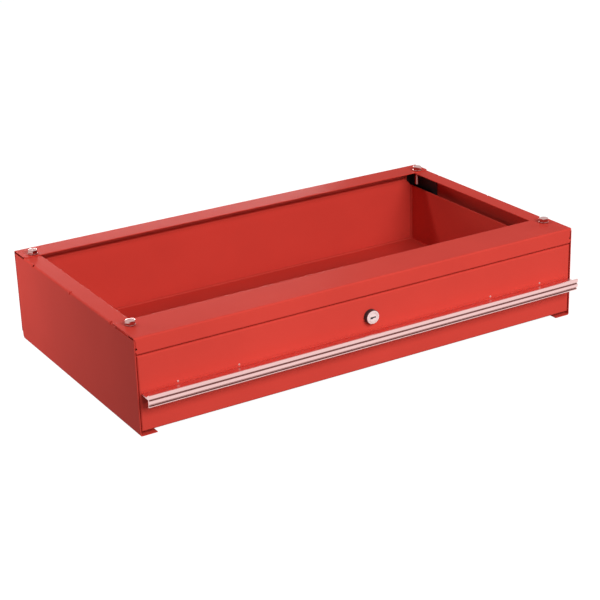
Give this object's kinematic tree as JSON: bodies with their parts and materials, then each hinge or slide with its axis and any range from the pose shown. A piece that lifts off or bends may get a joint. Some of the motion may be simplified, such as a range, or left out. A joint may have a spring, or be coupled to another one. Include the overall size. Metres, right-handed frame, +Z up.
{
  "type": "service cart drawer unit",
  "caption": "Open-topped steel case with a lockable drawer on ball-bearing slides, a full-width aluminium pull and bolts that hang it under a service cart's tray.",
  "frame": {"origin": "on the floor under the part, midway across its width and midway between the pull's outer edge and the back", "axes": "+X across the front towards the right, +Y from the front to the back, +Z up"},
  "size_m": [0.724, 0.4303, 0.1469],
  "materials": {
    "red_paint": "glossy red powder paint on sheet steel",
    "black_paint": "satin black paint on sheet steel",
    "pull_aluminium": "bright anodised extrusion, drawn lengthwise",
    "lock_nickel": "polished nickel plate on zinc",
    "zinc_fasteners": "zinc plated steel",
    "zinc_slides": "zinc plated cold-rolled strip",
    "cage_steel": "bare pressed strip, lightly greased",
    "ball_steel": "polished bearing steel",
    "bumper_rubber": "soft black rubber"
  },
  "bodies": {
    "case": {"left_side_panel": "red_paint", "right_side_panel": "red_paint", "rear_panel": "red_paint", "front_rail": "red_paint", "mounting_bolts": "zinc_fasteners", "bolt_washers": "zinc_fasteners", "left_slide_outer": "zinc_slides", "right_slide_outer": "zinc_slides", "left_slide_bracket": "black_paint", "right_slide_bracket": "black_paint", "slide_bumpers": "bumper_rubber"},
    "drawer": {"drawer_front": "red_paint", "drawer_tray": "red_paint", "drawer_back": "red_paint", "front_stiffener": "red_paint", "pull_handle": "pull_aluminium", "lock_body": "lock_nickel", "lock_nut": "zinc_fasteners", "left_slide_inner": "zinc_slides", "right_slide_inner": "zinc_slides"},
    "lock": {"lock_plug": "lock_nickel", "lock_cam": "zinc_fasteners", "cam_screw": "zinc_fasteners"},
    "left_middle": {"left_slide_middle": "zinc_slides"},
    "right_middle": {"right_slide_middle": "zinc_slides"},
    "left_outer_bearing": {"left_outer_cage": "cage_steel", "left_outer_balls": "ball_steel"},
    "right_outer_bearing": {"right_outer_cage": "cage_steel", "right_outer_balls": "ball_steel"},
    "left_inner_bearing": {"left_inner_cage": "cage_steel", "left_inner_balls": "ball_steel"},
    "right_inner_bearing": {"right_inner_cage": "cage_steel", "right_inner_balls": "ball_steel"}
  },
  "joints": [
    {"name": "drawer_slide", "type": "slide", "parent": "case", "child": "drawer", "axis": [0, -1, 0], "range_m": [0, 0.35]},
    {"name": "left_middle_slide", "type": "slide", "parent": "case", "child": "left_middle", "axis": [0, -1, 0], "range_m": [0, 0.175]},
    {"name": "right_middle_slide", "type": "slide", "parent": "case", "child": "right_middle", "axis": [0, -1, 0], "range_m": [0, 0.175]},
    {"name": "left_outer_bearing_slide", "type": "slide", "parent": "case", "child": "left_outer_bearing", "axis": [0, -1, 0], "range_m": [0, 0.0875]},
    {"name": "right_outer_bearing_slide", "type": "slide", "parent": "case", "child": "right_outer_bearing", "axis": [0, -1, 0], "range_m": [0, 0.0875]},
    {"name": "left_inner_bearing_slide", "type": "slide", "parent": "case", "child": "left_inner_bearing", "axis": [0, -1, 0], "range_m": [0, 0.2625]},
    {"name": "right_inner_bearing_slide", "type": "slide", "parent": "case", "child": "right_inner_bearing", "axis": [0, -1, 0], "range_m": [0, 0.2625]},
    {"name": "lock_turn", "type": "hinge", "parent": "drawer", "child": "lock", "pos_m": [0, -0.1988, 0.0848], "axis": [0, 1, 0], "range_deg": [0, 90]}
  ],
  "couplings": [
    {"joint": "left_middle_slide", "follows": "drawer_slide", "ratio": 0.5},
    {"joint": "right_middle_slide", "follows": "drawer_slide", "ratio": 0.5},
    {"joint": "left_outer_bearing_slide", "follows": "drawer_slide", "ratio": 0.25},
    {"joint": "right_outer_bearing_slide", "follows": "drawer_slide", "ratio": 0.25},
    {"joint": "left_inner_bearing_slide", "follows": "drawer_slide", "ratio": 0.75},
    {"joint": "right_inner_bearing_slide", "follows": "drawer_slide", "ratio": 0.75}
  ]
}
